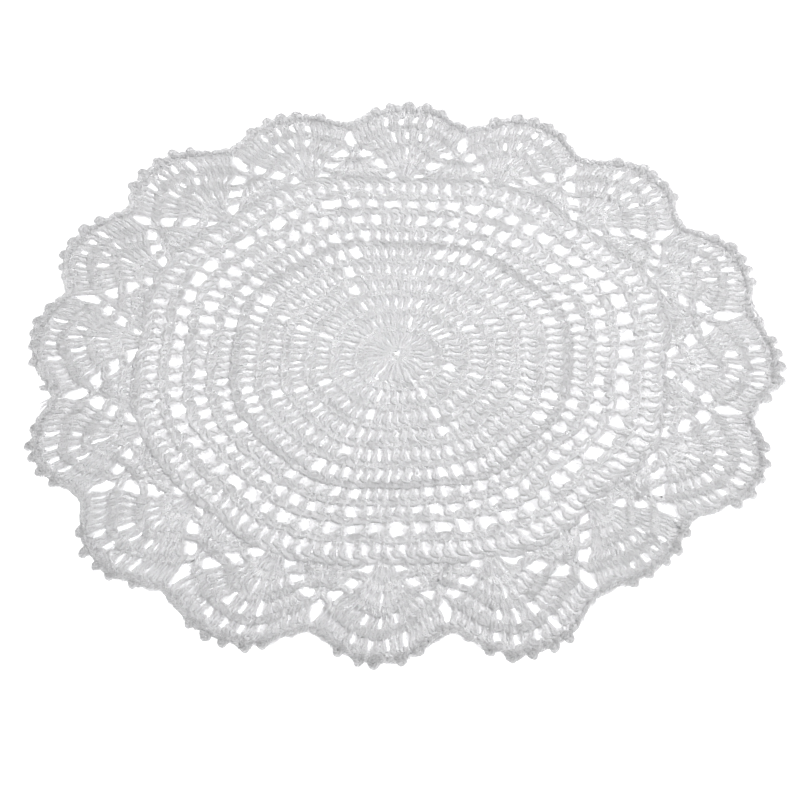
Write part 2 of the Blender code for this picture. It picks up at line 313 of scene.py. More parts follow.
# A chain stitch over a space.
CHAIN = (
    Bend(-0.50, 1.02, 1.15),
    Bend(-0.20, 1.12, 1.48),
    Bend(0.15, 1.12, 1.48),
    Bend(0.46, 1.05, 1.15),
    Bend(0.58, 0.96, 0.85),
    Bend(0.42, 0.86, 1.00),
    Bend(0.05, 0.82, 1.38),
    Bend(-0.30, 0.86, 1.40),
    Bend(-0.46, 0.98, 0.95),
    Bend(-0.24, 1.04, 0.60),
    Bend(0.10, 0.96, 0.55),
    Bend(0.34, 0.96, 0.75),
)
# A single crochet of the edging: a short post under a full head.
SINGLE = (
    Bend(-0.50, 1.00, 1.15),
    Bend(-0.15, 1.16, 1.50),
    Bend(0.25, 1.14, 1.45),
    Bend(0.56, 0.96, 0.95),
    Bend(0.36, 0.74, 1.00),
    Bend(0.00, 0.72, 1.42),
    Bend(-0.28, 0.52, 1.30),
    Bend(-0.26, 0.14, 1.00),
    Bend(-0.08, -0.16, 0.60),
    Bend(0.14, -0.12, 0.60),
    Bend(0.22, 0.20, 1.10),
    Bend(0.18, 0.56, 0.85),
    Bend(0.34, 0.90, 0.65),
)
LOWEST = 0.5  # height of a strand that lies on the table, which pressing leaves as it is
# For each kind of stitch, the steps of thread worked out and the share of its relief that pressing leaves.
# Above 1, it stands prouder instead.
Kind = namedtuple("Kind", "bends steps pressed")
KINDS = (Kind(POST, 28, 0.48), Kind(CHAIN, 14, 0.55), Kind(SINGLE, 14, 1.15), Kind(FAN_POST, 28, 0.32))
POST_KIND, CHAIN_KIND, SINGLE_KIND, FAN_KIND = range(4)

# A picot: a small hard knot of three chains, in shares of its own size.
PICOT = (
    Bend(-0.30, -0.10, 0.90),
    Bend(-0.50, 0.30, 1.25),
    Bend(-0.28, 0.80, 1.50),
    Bend(0.12, 0.92, 1.20),
    Bend(0.48, 0.62, 0.80),
    Bend(0.34, 0.26, 0.85),
    Bend(-0.04, 0.42, 1.50),
    Bend(-0.32, 0.66, 0.85),
    Bend(-0.06, 1.00, 0.68),
    Bend(0.34, 0.86, 1.10),
    Bend(0.50, 0.36, 1.45),
    Bend(0.26, -0.10, 1.00),
    Bend(0.02, 0.05, 0.68),
)
PICOT_STEPS = 30

# Patches hold the kind of each stitch, how fat it is or how low it hangs, and its four corners as columns of
# (angle, radius).
Patches = namedtuple("Patches", "kind puff base_left base_right top_left top_right")


def round_circle(angle, knots, values):
    """For each angle its stretch between knots, how far along it, 0 to 1, and the values at its ends."""
    starts = np.append(knots - knots[0], 360.0)
    turned = np.mod(angle - knots[0], 360.0)
    i = np.clip(np.searchsorted(starts, turned, side="right") - 1, 0, len(knots) - 1)
    share = (turned - starts[i]) / (starts[i + 1] - starts[i])
    return i, share, values[i], values[(i + 1) % len(knots)]


def eased(share):
    """A share that starts and ends gently: 3 s^2 - 2 s^3."""
    return share * share * (3.0 - 2.0 * share)


def swell(angle):
    """The factor on a round's radius at an angle: eased from a section's reach to its side and on."""
    corners = np.array([section.corner for section in SECTIONS])
    following = np.roll(corners, -1)
    sides = corners + np.mod(following - corners, 360.0) / 2.0
    knots = np.stack([corners, sides], axis=1).ravel()
    factors = np.array([(section.reach, section.side) for section in SECTIONS]).ravel()
    i, share, start, end = round_circle(angle, knots, factors)
    return start + (end - start) * eased(share)


def edge_radius(angle):
    """The scalloped edge: from a valley to a crest the radius rises by 3 t^2 - 2 t^3.

    t is 1 - (1 - s)^FULLNESS, where s is the share of the angle between the two.
    """
    knots = np.array([(scallop.crest, scallop.valley) for scallop in SCALLOPS]).ravel()
    radii = np.array([(scallop.crest_radius, scallop.valley_radius) for scallop in SCALLOPS]).ravel()
    i, share, start, end = round_circle(angle, knots, radii)
    falling = i % 2 == 0
    share = np.where(falling, 1.0 - share, share)
    crest = np.maximum(start, end)
    valley = np.minimum(start, end)
    return valley + (crest - valley) * eased(1.0 - (1.0 - share) ** FULLNESS)


def motif_angle(scallops):
    """The angle at a distance in scallops from the first crest: whole numbers are crests, halves valleys."""
    count = len(SCALLOPS)
    knots = [angle for scallop in SCALLOPS for angle in (scallop.crest, scallop.valley)]
    knots.append(knots[0] + 360.0)
    whole = np.floor(scallops / count)
    return np.interp(scallops - whole * count, np.arange(len(knots)) / 2.0, knots) + 360.0 * whole


def drawn_edge(scallops):
    """Radius of the edge as the border is drawn: straight from each crest to the valley beside it."""
    aside = np.abs(np.mod(scallops + 0.5, 1.0) - 0.5) * 2.0
    return DRAWN_CREST + (DRAWN_VALLEY - DRAWN_CREST) * aside


def lace_corner(scallops, radius):
    """A border corner as (angle, radius): the border is stretched between the tenth round and the edge."""
    angle = motif_angle(scallops)
    inner = LACE_EDGE * swell(angle)
    share = (radius - LACE_EDGE) / (drawn_edge(scallops) - LACE_EDGE)
    return np.stack([angle, inner + (edge_radius(angle) - inner) * share], axis=-1)


def waves(table, x, y):
    """The sum of a table's waves at x, y."""
    return sum(np.sin(wave.along_x * x + wave.along_y * y + wave.phase) for wave in table)


def ripple(x, y):
    """Height by which the cloth stands off the table: crossed slow waves, from 0 to RIPPLE."""
    count = len(RIPPLES)
    return RIPPLE * (count + waves(RIPPLES, x, y)) / (2.0 * count)


def place(angle, radius, height):
    """World points from the polar layout: x = r cos a, y = r sin a, z = height over the waving cloth."""
    turn = np.radians(angle)
    x = RADIUS * radius * np.cos(turn)
    y = RADIUS * radius * np.sin(turn)
    pulled_x = x + PULL * waves(PULLS_X, x, y)
    pulled_y = y + PULL * waves(PULLS_Y, x, y)
    return np.stack([pulled_x, pulled_y, height + ripple(x, y)], axis=-1)


def through(bends, count, closed):
    """Points along a smooth line through the bends: a uniform Catmull-Rom spline, (count, 3) of them.

    A closed line runs back into its own first bend. Any other runs on into the next patch, whose bends are
    the same ones shifted by 1 across.
    """
    points = np.array(bends)
    step = np.zeros(3) if closed else np.array([1.0, 0.0, 0.0])
    points = np.concatenate([points[-1:] - step, points, points[:2] + step])
    t = np.arange(count) * (len(bends) / count)
    i = t.astype(int)
    s = (t - i)[:, None]
    a, b, c, d = points[i], points[i + 1], points[i + 2], points[i + 3]
    return 0.5 * (2 * b + (c - a) * s + (2 * a - 5 * b + 4 * c - d) * s**2 + (3 * b - a - 3 * c + d) * s**3)


STITCH_LINES = tuple(through(kind.bends, kind.steps, False) for kind in KINDS)


def mixed(sides, across, along):
    """The bilinear mix of patches' corners in angle and radius. across and along are 0 to 1 over a patch."""
    base_left, base_right, top_left, top_right = sides
    base = base_left * (1.0 - across) + base_right * across
    top = top_left * (1.0 - across) + top_right * across
    return base * (1.0 - along) + top * along


def thread_through(patches, thread):
    """One closed line of thread through a whole round of patches, as (steps, 3) world points.

    Below the heads, a post's across is multiplied by the patch's puff. A chain hangs 1 - along times the puff
    below its patch's top. Of the height over LOWEST, pressing leaves the kind's share.
    """
    steps = np.array([kind.steps for kind in KINDS])
    firsts = np.cumsum(steps) - steps
    counts = steps[patches.kind]
    owner = np.repeat(np.arange(len(counts)), counts)
    within = np.arange(counts.sum()) - np.repeat(np.cumsum(counts) - counts, counts)
    bends = np.concatenate(STITCH_LINES)[firsts[patches.kind][owner] + within]
    along = bends[:, 1:2]
    chain = patches.kind[owner, None] == CHAIN_KIND
    hanging = 1.0 - np.maximum(1.0 - along, 0.0) * patches.puff[owner, None]
    below_head = np.where(chain, 0.0, eased(np.clip((HEAD_FOOT - along) / HEAD_BLEND, 0.0, 1.0)))
    along = np.where(chain & (along < 1.0), hanging, along)
    across = bends[:, :1] * (1.0 + (patches.puff[owner, None] - 1.0) * below_head) + 0.5
    corner = mixed([side[owner] for side in patches[2:]], across, along)
    kept = np.array([kind.pressed for kind in KINDS])[patches.kind][owner]
    height = LOWEST + kept * (bends[:, 2] - LOWEST)
    return place(corner[:, 0], corner[:, 1], height * thread)


def puffs(kind, chance):
    """How fat each post is, about 1, and how low each chain hangs, 1 or more, from the seeded draw."""
    uneven = sway(len(kind), 1.0, chance)
    return 1.0 + np.where(kind == CHAIN_KIND, HANG * np.abs(uneven), PUFF * uneven)


def drift(angle, radius):
    """How much further out the inner rounds lie: DRIFT cos(angle - DRIFT_TO), fading over DRIFT_ENDS."""
    start, end = DRIFT_ENDS
    fade = 1.0 - eased(np.clip((radius - start) / (end - start), 0.0, 1.0))
    return DRIFT * fade * np.cos(np.radians(angle - DRIFT_TO))


def sway(count, amount, chance):
    """Uneven shifts about 0 from the seeded draw, an array of the size that count gives."""
    return amount * np.clip(chance.normal(size=count), -SWAY_MOST, SWAY_MOST)


def gap_halves(number, row, middle, chance):
    """Half widths in degrees of a round's chain spaces, an array for each section.

    A space is pulled open by OPENNESS + OPENNESS_SWING cos(angle - OPEN_TO).
    """
    halves = []
    for section in SECTIONS:
        gap = row.gap if number >= section.opens else min(row.gap, SHUT_GAP)
        pull = OPENNESS + OPENNESS_SWING * np.cos(np.radians(section.space - OPEN_TO))
        uneven = 1.0 + sway(row.cells, GAP_SWAY, chance)
        halves.append(np.degrees(gap * pull * uneven / middle) / 2.0)
    return halves


def round_patches(number, chance):
    """The patches of one middle round: each section has chain spaces, a post after each, and a block."""
    row = ROUNDS[number - 1]
    lefts, rights, kinds = [], [], []
    halves = gap_halves(number, row, (row.inner + row.outer) / 2.0, chance)
    for i, section in enumerate(SECTIONS):
        following = (i + 1) % len(SECTIONS)
        span = (SECTIONS[following].space - section.space) % 360.0
        pitch = span / FULL_SECTION if row.cells == FULL_SECTION else CELL_PITCH
        first = section.space + row.turn
        centres = first + pitch * np.arange(row.cells)
        spaces = np.stack([centres - halves[i], centres + halves[i]], axis=-1).ravel()
        start = spaces[-1] if row.cells else first
        end = first + span - (halves[following][0] if row.cells else 0.0)
        posts = row.block + (1 if row.cells else 0)
        block = np.linspace(start, end, posts + 1)
        lefts += [spaces[:-1], block[:-1]]
        rights += [spaces[1:], block[1:]]
        kinds += [CHAIN_KIND, POST_KIND] * row.cells + [POST_KIND] * row.block
    return patches_between(np.array(kinds), np.concatenate(lefts), np.concatenate(rights), row, chance)


def patches_between(kind, left, right, row, chance):
    """Patches of a middle round from their edge angles, slightly uneven, their feet leaning a little."""
    width = right - left
    shift = sway(len(left), HEAD_SWAY, chance) * width.min()
    left = left + shift
    right = right + np.roll(shift, -1)
    lean = (LEAN + sway(len(left), LEAN_SWAY, chance)) * np.minimum(width, WIDEST_LEAN * width.min())
    lean = lean * (kind == POST_KIND)
    depth = 1.0 + sway(len(left), DEPTH_SWAY, chance)
    outer = row.outer * swell(left) * depth + drift(left, row.outer)
    outer_next = np.roll(outer, -1)
    foot = left - lean
    foot_next = right - lean
    inner_shift = drift(foot, row.inner) if row.inner > ROUNDS[0].inner else 0.0
    return Patches(
        kind,
        puffs(kind, chance),
        np.stack([foot, row.inner * swell(foot) + inner_shift], axis=-1),
        np.stack([foot_next, row.inner * swell(foot_next) + inner_shift], axis=-1),
        np.stack([left, outer], axis=-1),
        np.stack([right, outer_next], axis=-1),
    )


def fan_heads(row, aside):
    """Radius of a fan's heads, (scallops, radius): crest - (crest - side) |aside / span| ^ BOW."""
    radius = row.crest - (row.crest - row.side) * np.abs(aside / row.fan_span) ** BOW
    return np.stack([aside, radius], axis=-1)


def fan_run(below, row):
    """A fan's stitches: kinds, and the (scallops, radius) corners between them at the foot and the head."""
    widths = np.array([STITCH_WIDTHS[mark] for mark in row.chart])
    share = 2.0 * np.append(0.0, np.cumsum(widths)) / widths.sum() - 1.0
    kinds = [FAN_KIND if mark == "P" else CHAIN_KIND for mark in row.chart]
    return kinds, fan_heads(below, below.fan_span * share), fan_heads(row, row.fan_span * share)


def leaf_run(below, row):
    """A leaf's stitches: an even row that is wider at its foot than at its head."""
    share = np.linspace(-1.0, 1.0, row.leaf + 1)
    feet = np.stack([0.5 + below.leaf_span * share, np.full_like(share, below.tip)], axis=-1)
    heads = np.stack([0.5 + row.leaf_span * share, np.full_like(share, row.tip)], axis=-1)
    return [FAN_KIND] * row.leaf, feet, heads


def chain_run(start, end, count):
    """Chains in a straight row between two (scallops, radius) corners."""
    share = np.linspace(0.0, 1.0, count + 1)[:, None]
    heads = np.array(start) * (1.0 - share) + np.array(end) * share
    return [CHAIN_KIND] * count, heads - (0.0, CHAIN_ROWS), heads


def border_patches(below, row, chance):
    """The patches of one border round: for each scallop a fan, then a leaf between chains if it has one."""
    runs = [fan_run(below, row)]
    if row.leaf:
        leaf = leaf_run(below, row)
        runs.append(chain_run((row.fan_span, row.side), leaf[2][0], row.chains))
        runs.append(leaf)
        runs.append(chain_run(leaf[2][-1], (1.0 - row.fan_span, row.side), row.chains))
    return mapped(runs, chance)


def edging_patches(chance):
    """The patches of the edging: single crochet all round, from the fans' heads to the scalloped edge."""
    aside = np.linspace(-0.5, 0.5, EDGING_STITCHES + 1)
    heads = np.stack([aside, drawn_edge(aside)], axis=-1)
    return mapped([([SINGLE_KIND] * EDGING_STITCHES, fan_heads(BORDER[-1], aside), heads)], chance)


def mapped(runs, chance):
    """Repeat one scallop's runs of stitches round the border and map their corners on to the uneven cloth.

    Only the heads are stirred, since the feet sit in the round below.
    """
    count = len(SCALLOPS)
    kinds, feet, heads = zip(*runs)
    kinds = np.concatenate(kinds)
    sides = [
        np.concatenate([corners[part] for corners in row])
        for row in (feet, heads)
        for part in (slice(None, -1), slice(1, None))
    ]
    turns = np.repeat(np.arange(count), len(kinds))
    across = sway(count * len(kinds), UNEVEN_ACROSS, chance)
    along = sway(count * len(kinds), UNEVEN_ALONG, chance)
    stir = np.stack([across, along], axis=-1)
    corners = []
    for side, shift in zip(sides, (0.0, 0.0, stir, np.roll(stir, -1, axis=0))):
        corner = np.tile(side, (count, 1))
        corner[:, 0] += turns
        corner += shift
        corners.append(lace_corner(corner[:, 0], corner[:, 1]))
    kinds = np.tile(kinds, count)
    return Patches(kinds, puffs(kinds, chance), *corners)


# ---- meshes

def swept(paths, along, section, scale):
    """A section carried along paths that never stand upright: p = path + side * x + up * y.

    (x, y) is a point of the section times the scale, side is along x Z and up is side x along.
    """
    along = along / np.linalg.norm(along, axis=-1, keepdims=True)
    side = np.cross(along, (0.0, 0.0, 1.0))
    side /= np.linalg.norm(side, axis=-1, keepdims=True)
    up = np.cross(side, along)
    flat = section * scale[..., None, None]
    points = paths[..., None, :] + side[..., None, :] * flat[..., :1] + up[..., None, :] * flat[..., 1:]
    return points.reshape(-1, 3)


def wall_faces(first, following, around):
    """Quads that point outwards between rings of points, from the first point of each and of the next."""
    j = np.arange(around)
    j_next = (j + 1) % around
    first = first[..., None]
    following = following[..., None]
    quads = np.stack([first + j, following + j, following + j_next, first + j_next], axis=-1)
    return quads.reshape(-1, 4)


def wall_uv(start, end, around):
    """A UV for each corner of those quads: u is the length along the path in metres, v goes once round."""
    j = np.arange(around)
    start, end, j = np.broadcast_arrays(start[..., None], end[..., None], j)
    u = np.stack([start, end, end, start], axis=-1)
    v = np.stack([j, j, j + 1, j + 1], axis=-1) / around
    return np.stack([u, v], axis=-1).reshape(-1, 2)


def closed_sweep(path, section, scale):
    """A section carried round a closed path: its points, quads and UVs."""
    around = len(section)
    points = swept(path, np.roll(path, -1, axis=0) - np.roll(path, 1, axis=0), section, scale)
    first = np.arange(len(path)) * around
    length = np.append(0.0, np.cumsum(np.linalg.norm(np.roll(path, -1, axis=0) - path, axis=1)))
    return points, wall_faces(first, np.roll(first, -1), around), wall_uv(length[:-1], length[1:], around)


def ring_section(radius, sides):
    """A round section as sides points."""
    turn = TURN * np.arange(sides) / sides
    return radius * np.stack([np.cos(turn), np.sin(turn)], axis=-1)


def open_faces(lines, steps, around):
    """Quads along many open sweeps of one size, and a cap at both ends of each, all pointing outwards."""
    first = np.arange(lines * steps).reshape(lines, steps) * around
    start = first[:, :1] + np.arange(around)
    end = first[:, -1:] + np.arange(around)[::-1]
    return wall_faces(first[:, :-1], first[:, 1:], around), np.concatenate([start, end])


def open_sweep(paths, section, scale):
    """A section carried along many open paths: points, quads, caps, and UVs of the quads and caps."""
    quads, caps = open_faces(*paths.shape[:2], len(section))
    moves = np.linalg.norm(np.diff(paths, axis=1), axis=-1)
    length = np.pad(np.cumsum(moves, axis=1), ((0, 0), (1, 0)))
    uv = wall_uv(length[:, :-1], length[:, 1:], len(section))
    points = swept(paths, np.gradient(paths, axis=1), section, scale)
    return points, quads, caps, np.concatenate([uv, np.zeros((caps.size, 2))])


def make_piece(name, points, faces, uv, material):
    """A smooth-shaded mesh object at the origin from whole arrays. faces is a list of arrays of polygons."""
    mesh = bpy.data.meshes.new(name)
    corners = np.concatenate([group.ravel() for group in faces])
    sizes = np.concatenate([np.full(len(group), group.shape[1]) for group in faces])
    mesh.vertices.add(len(points))
    mesh.vertices.foreach_set("co", points.ravel())
    mesh.loops.add(len(corners))
    mesh.loops.foreach_set("vertex_index", corners.astype(np.int32))
    mesh.polygons.add(len(sizes))
    mesh.polygons.foreach_set("loop_start", (np.cumsum(sizes) - sizes).astype(np.int32))
    mesh.update(calc_edges=True)
    layer = mesh.uv_layers.new(name="thread")
    layer.data.foreach_set("uv", uv.ravel())
    mesh.shade_smooth()
    mesh.materials.append(material)
    piece = bpy.data.objects.new(name, mesh)
    bpy.context.scene.collection.objects.link(piece)
    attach(piece, "root")
    return piece


def joined(sweeps):
    """Several closed sweeps as one: points, faces and UVs laid end to end."""
    firsts = np.cumsum([0] + [len(sweep[0]) for sweep in sweeps])
    points, quads, uv = zip(*sweeps)
    quads = [faces + first for first, faces in zip(firsts, quads)]
    return np.concatenate(points), np.concatenate(quads), np.concatenate(uv)


def thread_piece(name, rounds, sizes, chance, edge_with_painted_shade):
    """The thread of several rounds as one piece: a round section carried along each round's line."""
    quick, slow = SLUB_WAVES
    sweeps = []
    for patches in rounds:
        line = thread_through(patches, sizes.thread)
        phase = TURN * chance.random()
        steps = np.arange(len(line))
        slub = 1.0 + SLUB * (np.sin(quick * steps + phase) + np.sin(slow * steps + 2.0 * phase))
        sweeps.append(closed_sweep(line, ring_section(sizes.thread / 2.0, THREAD_SIDES), slub))
    points, quads, uv = joined(sweeps)
    return make_piece(name, points, [quads], uv, cotton_material(sizes, edge_with_painted_shade))


def thread_pieces(table, rounds, sizes, chance, edge_with_painted_shade=False):
    """All the pieces of a table, from the rounds that it names."""
    for row in table:
        thread_piece(row.name, rounds[row.first:row.last], sizes, chance, edge_with_painted_shade)


def fibre_beds(patches, thread, chance):
    """Beds of loose fibre between the strands of each post: a crowned section carried up the patch."""
    posts = np.flatnonzero((patches.kind == POST_KIND) | (patches.kind == FAN_KIND))
    bed = np.array(BED)
    steps = np.array(BED_STEPS)
    ragged = 1.0 + sway((len(posts), len(BED_STEPS)), RAGGED, chance)
    filled = np.where(patches.kind[posts] == FAN_KIND, FAN_FILL, 1.0) * patches.puff[posts]
    puff = filled[:, None, None, None] * ragged[..., None, None]
    across = 0.5 - bed[None, None, :, :1] * puff * steps[None, :, None, 1:]
    sides = [side[posts][:, None, None, :] for side in patches[2:]]
    corner = mixed(sides, across, steps[None, :, None, :1])
    height = np.broadcast_to(bed[:, 1] * thread, corner.shape[:-1])
    quads, caps = open_faces(len(posts), len(BED_STEPS), len(BED))
    return place(corner[..., 0], corner[..., 1], height).reshape(-1, 3), quads, caps


def head_band(patches, thread, chance):
    """The band of fibre under a round's heads: a crowned section carried through the tops of its patches."""
    share = (np.arange(BAND_STEPS) / BAND_STEPS)[None, :, None]
    corner = patches.top_left[:, None] * (1.0 - share) + patches.top_right[:, None] * share
    corner = corner.reshape(-1, 2)
    drop = EDGE_DROP if patches.kind[0] == SINGLE_KIND else BAND_DROP
    path = place(corner[:, 0], corner[:, 1] - drop, 0.0)
    ragged = 1.0 + sway(len(path), RAGGED, chance)
    return closed_sweep(path, np.array(BAND) * (1.0, thread), ragged)[:2]


def ground_piece(rounds, sizes, chance):
    """The fibre of the whole lace as one thin sheet: a bed in every post and a band under every head."""
    points, quads, caps = [], [], []
    first = 0
    for patches in rounds:
        bed_points, bed_quads, bed_caps = fibre_beds(patches, sizes.thread, chance)
        band_points, band_quads = head_band(patches, sizes.thread, chance)
        points += [bed_points, band_points]
        quads += [bed_quads + first, band_quads + first + len(bed_points)]
        caps.append(bed_caps + first)
        first += len(bed_points) + len(band_points)
    points = np.concatenate(points)
    faces = [np.concatenate(quads), np.concatenate(caps)]
    corners = np.concatenate([group.ravel() for group in faces])
    return make_piece("doily_ground", points, faces, points[corners][:, :2], fibre_material(sizes))


def picot_lines(sizes, chance):
    """Closed lines of the picots: a bend lies across along the edge and along outwards from the foot."""
    crest = np.array([scallop.crest for scallop in SCALLOPS])[:, None]
    radius = np.array([scallop.crest_radius for scallop in SCALLOPS])[:, None]
    number = np.arange(PICOTS) - (PICOTS - 1) / 2.0
    angle = (crest + number * np.degrees(PICOT_PITCH / radius)).ravel()
    angle = angle + sway(len(angle), PICOT_STRAY, chance)
    knot = through(PICOT, PICOT_STEPS, True)
    far = np.clip(np.sin(np.radians(angle)), 0.0, 1.0)[:, None]
    size = sizes.picot * (1.0 + sway(len(angle), PICOT_SWAY, chance))[:, None] * (1.0 + PICOT_STAND * far)
    mirror = np.where(chance.random(len(angle)) < 0.5, -1.0, 1.0)[:, None]
    reach = edge_radius(angle)[:, None] - PICOT_SEAT * (1.0 - PICOT_CLEAR * far) + knot[:, 1] * size / RADIUS
    turn = angle[:, None] + np.degrees(mirror * knot[:, 0] * size / (RADIUS * reach))
    return place(turn, reach, knot[:, 2] * sizes.thread)


def picot_piece(sizes, chance):
    """The picots as one piece: the thread's round section carried round each closed knot."""
    section = ring_section(PICOT_THREAD * sizes.thread / 2.0, THREAD_SIDES)
    even = np.ones(PICOT_STEPS)
    points, quads, uv = joined([closed_sweep(line, section, even) for line in picot_lines(sizes, chance)])
    return make_piece("doily_picots", points, [quads], uv, cotton_material(sizes, True))


def loose_piece(sizes):
    """The loose ends: p = start + t length ahead + t^2 bend to the left, with t from 0 to 1.

    Each lies on the table, rises by LOOSE_LIFT sin(LOOSE_ARCH t) and thins by LOOSE_TAPER t^3.
    """
    t = np.linspace(0.0, 1.0, LOOSE_STEPS)[None, :]
    x, y, heading, length, bend, thickness = (column[:, None] for column in np.array(LOOSE_ENDS).T)
    ahead = np.radians(heading)
    line_x = x + t * length * np.cos(ahead) - t**2 * bend * np.sin(ahead)
    line_y = y + t * length * np.sin(ahead) + t**2 * bend * np.cos(ahead)
    lift = thickness / 2.0 + LOOSE_LIFT * np.sin(LOOSE_ARCH * t)
    paths = np.stack([line_x, line_y, lift], axis=-1)
    taper = thickness * (1.0 - LOOSE_TAPER * t**3)
    points, quads, caps, uv = open_sweep(paths, ring_section(0.5, THREAD_SIDES), taper)
    return make_piece("doily_loose_ends", points, [quads, caps], uv, cotton_material(sizes, True))


# ---- materials

class Finish:
    """A node material in the making: its nodes, and short ways to add and link them."""

    def __init__(self, name):
        self.material = bpy.data.materials.new(name)
        self.material.use_nodes = True
        self.nodes = self.material.node_tree.nodes
        self.links = self.material.node_tree.links
        self.nodes.clear()
        self.shader = self.nodes.new("ShaderNodeBsdfPrincipled")
        output = self.nodes.new("ShaderNodeOutputMaterial")
        self.links.new(self.shader.outputs["BSDF"], output.inputs["Surface"])

    def set(self, name, value):
        """Set one of the shader's own sockets."""
        self.shader.inputs[name].default_value = value

    def reckon(self, operation, *values):
        """A math node whose inputs are sockets or numbers."""
        node = self.nodes.new("ShaderNodeMath")
        node.operation = operation
        for socket, value in zip(node.inputs, values):
            if isinstance(value, bpy.types.NodeSocket):
                self.links.new(value, socket)
            else:
                socket.default_value = value
        return node.outputs["Value"]

    def over(self, coordinates, kind):
        """A new node of a kind that reads the piece's own Object or UV coordinates."""
        source = self.nodes.new("ShaderNodeTexCoord")
        node = self.nodes.new(kind)
        self.links.new(source.outputs[coordinates], node.inputs["Vector"])
        return node

    def noise(self, scale, detail):
        """Noise on Object coordinates, scale waves to the metre."""
        texture = self.over("Object", "ShaderNodeTexNoise")
        texture.inputs["Scale"].default_value = scale
        texture.inputs["Detail"].default_value = detail
        return texture.outputs["Fac"]

    def fade(self, change):
        """A painted shade that changes evenly over the lace: middle + along_x x + along_y y."""
        split = self.over("Object", "ShaderNodeSeparateXYZ")
        over_x = self.reckon("MULTIPLY_ADD", split.outputs["X"], change.along_x, change.middle)
        return self.reckon("MULTIPLY_ADD", split.outputs["Y"], change.along_y, over_x)

    def plies(self):
        """Height over the twisted plies, 0 to 1: 0.5 + 0.5 cos(TURN PLIES (v - u / LAY))."""
        split = self.over("UV", "ShaderNodeSeparateXYZ")
        turns = self.reckon("DIVIDE", split.outputs["X"], LAY)
        phase = self.reckon("SUBTRACT", split.outputs["Y"], turns)
        wave = self.reckon("COSINE", self.reckon("MULTIPLY", phase, TURN * PLIES))
        return self.reckon("MULTIPLY_ADD", wave, 0.5, 0.5)

    def raise_by(self, height, distance):
        """Bump: a height of 1 stands distance metres proud."""
        bump = self.nodes.new("ShaderNodeBump")
        bump.inputs["Strength"].default_value = 1.0
        bump.inputs["Distance"].default_value = distance
        self.links.new(height, bump.inputs["Height"])
        self.links.new(bump.outputs["Normal"], self.shader.inputs["Normal"])

    def tint(self, colour, shade, darkest):
        """Base colour: the colour where shade is 1, and darkest times it where shade is 0."""
        mix = self.nodes.new("ShaderNodeMix")
        mix.data_type = "RGBA"
        sockets = {socket.identifier: socket for socket in (*mix.inputs, *mix.outputs)}
        sockets["A_Color"].default_value = (*(channel * darkest for channel in colour), 1.0)
        sockets["B_Color"].default_value = (*colour, 1.0)
        self.links.new(shade, mix.inputs["Factor"])
        self.links.new(sockets["Result_Color"], self.shader.inputs["Base Color"])

    def soften(self, through):
        """The matt, faintly furry surface of all the cotton, and how much light goes through it."""
        self.set("Roughness", 0.92)
        self.set("Specular IOR Level", 0.25)
        self.set("Sheen Weight", 0.25)
        self.set("Sheen Roughness", 0.6)
        self.shader.subsurface_method = "BURLEY"
        self.set("Subsurface Weight", through)
        self.set("Subsurface Radius", (GLOW_DEPTH, GLOW_DEPTH, GLOW_DEPTH))
        self.set("Subsurface Scale", 1.0)


def cotton_material(sizes, edge_with_painted_shade=False):
    """Twisted crochet cotton: three plies in bump and in painted shade along the thread, with fuzz over them.

    At the edge the painted shade in the grooves is deeper, and the cord is painted darker towards the front
    and the left, where it faces away from the key light.
    """
    name = "edging_cotton" if edge_with_painted_shade else "crochet_cotton"
    known = bpy.data.materials.get(name)
    if known:
        return known
    finish = Finish(name)
    finish.soften(HARD_GLOW if edge_with_painted_shade else 1.0)
    ply = finish.plies()
    fuzz = finish.noise(FUZZ_SCALE, 2.0)
    # At the edge, painted shade darker towards the front and the left; elsewhere random tone.
    tone_and_painted_shade = finish.fade(EDGE_PAINTED_SHADE_FADE) if edge_with_painted_shade else finish.noise(CAST_SCALE, 1.0)
    finish.raise_by(finish.reckon("MULTIPLY_ADD", fuzz, FUZZ, ply), PLY_BUMP)
    # Painted shade: darker down between the plies, mixed with the slow change over the lace.
    shade = finish.reckon("MULTIPLY_ADD", ply, PLY_SHARE, finish.reckon("MULTIPLY", tone_and_painted_shade, CAST_SHARE))
    finish.tint(sizes.cotton, shade, EDGE_PAINTED_SHADE if edge_with_painted_shade else GROOVE_PAINTED_SHADE)
    return finish.material


def fibre_material(sizes):
    """Loose cotton fibre: no twist, only a fine matted grain, with painted shade in its hollows."""
    finish = Finish("cotton_fibre")
    finish.soften(1.0)
    grain = finish.noise(GRAIN_SCALE, 2.0)
    strands = finish.noise(STRAND_SCALE, 0.0)
    relief = finish.reckon("MULTIPLY_ADD", grain, GRAIN, strands)
    finish.raise_by(relief, FIBRE_BUMP)
    # Painted shade in the hollows of the fibre's relief.
    finish.tint(sizes.cotton, relief, FIBRE_HOLLOW_PAINTED_SHADE)
    return finish.material


def floor_material(sizes):
    """A plain pale matt floor that glows a little, as a light table does."""
    finish = Finish("pale_floor")
    finish.set("Roughness", 0.9)
    finish.set("Specular IOR Level", 0.1)
    finish.set("Emission Color", (*sizes.floor, 1.0))
    finish.set("Emission Strength", sizes.glow)
    finish.tint(sizes.floor, finish.noise(FLOOR_SCALE, 1.0), FLOOR_SHADE)
    return finish.material


# ---- the stage

# The camera's angle over the table, its roll about the line of sight and its distance from the middle of the
# lace. That middle lies AIM_X to the right of the frame's middle and AIM_Y above it, in frame widths.
VIEW_ELEVATION = 48.14
VIEW_ROLL = -1.28
VIEW_DISTANCE = 1.002
LENS = 115.6
SENSOR = 36.0
AIM_X = -3.0 / 800.0
AIM_Y = 43.0 / 800.0
FLOOR_SIDE = 6.0
KEY_SPOT = (0.44, 0.29, 0.70)
KEY_SIDE = 1.0


